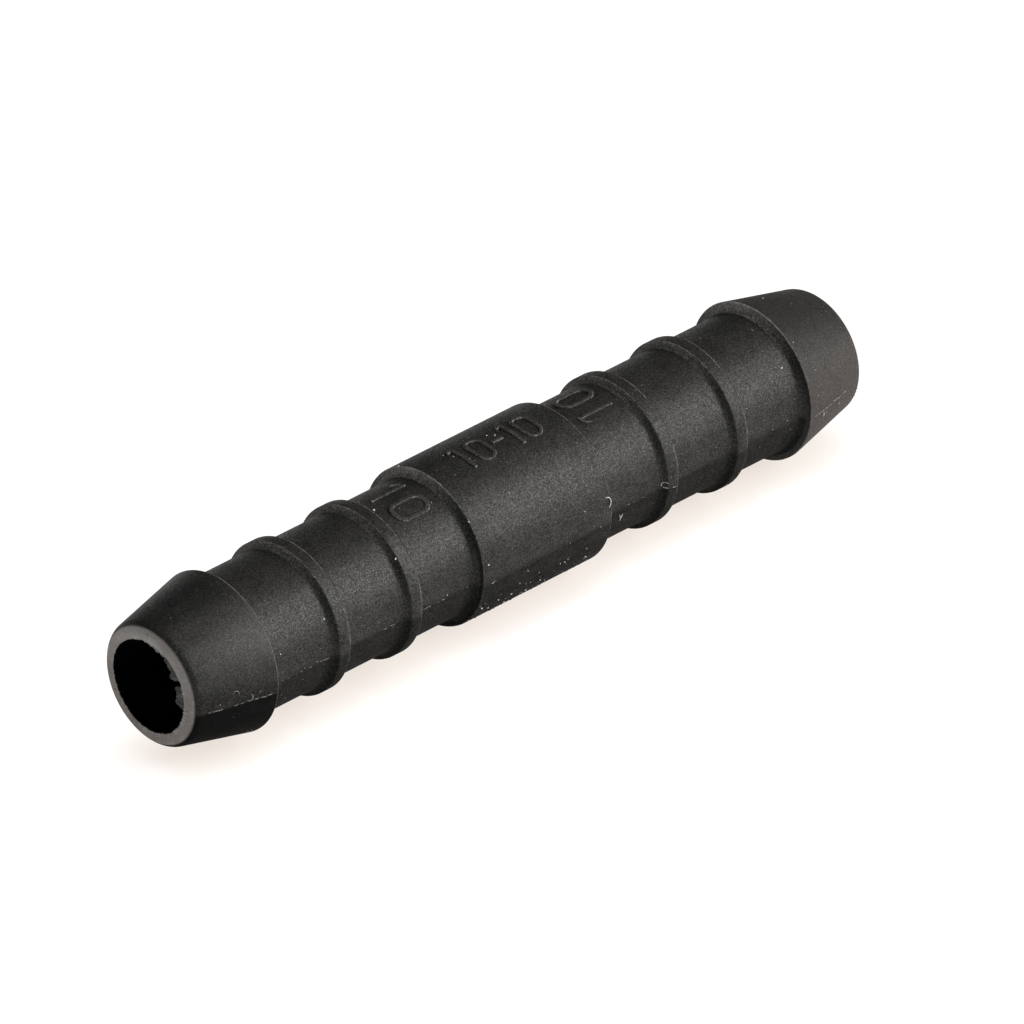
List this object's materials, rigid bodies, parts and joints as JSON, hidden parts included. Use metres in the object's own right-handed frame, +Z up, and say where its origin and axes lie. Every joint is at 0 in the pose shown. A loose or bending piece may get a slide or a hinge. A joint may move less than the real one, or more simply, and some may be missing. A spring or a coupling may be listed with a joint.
{
  "type": "hose joiner",
  "caption": "Straight barbed hose joiner moulded in one piece, with a through bore, a plain middle collar, sealing rings and a cone barb at each end.",
  "frame": {"origin": "on the surface the joiner lies on, straight below the middle of its length", "axes": "+X along the bore from one hose tail to the other, +Z up, lying on its side"},
  "size_m": [0.06, 0.0112, 0.0112],
  "materials": {
    "nylon": "black moulded nylon with a fine matt grain"
  },
  "bodies": {
    "root": {"hose_joiner": "nylon"}
  },
  "joints": []
}
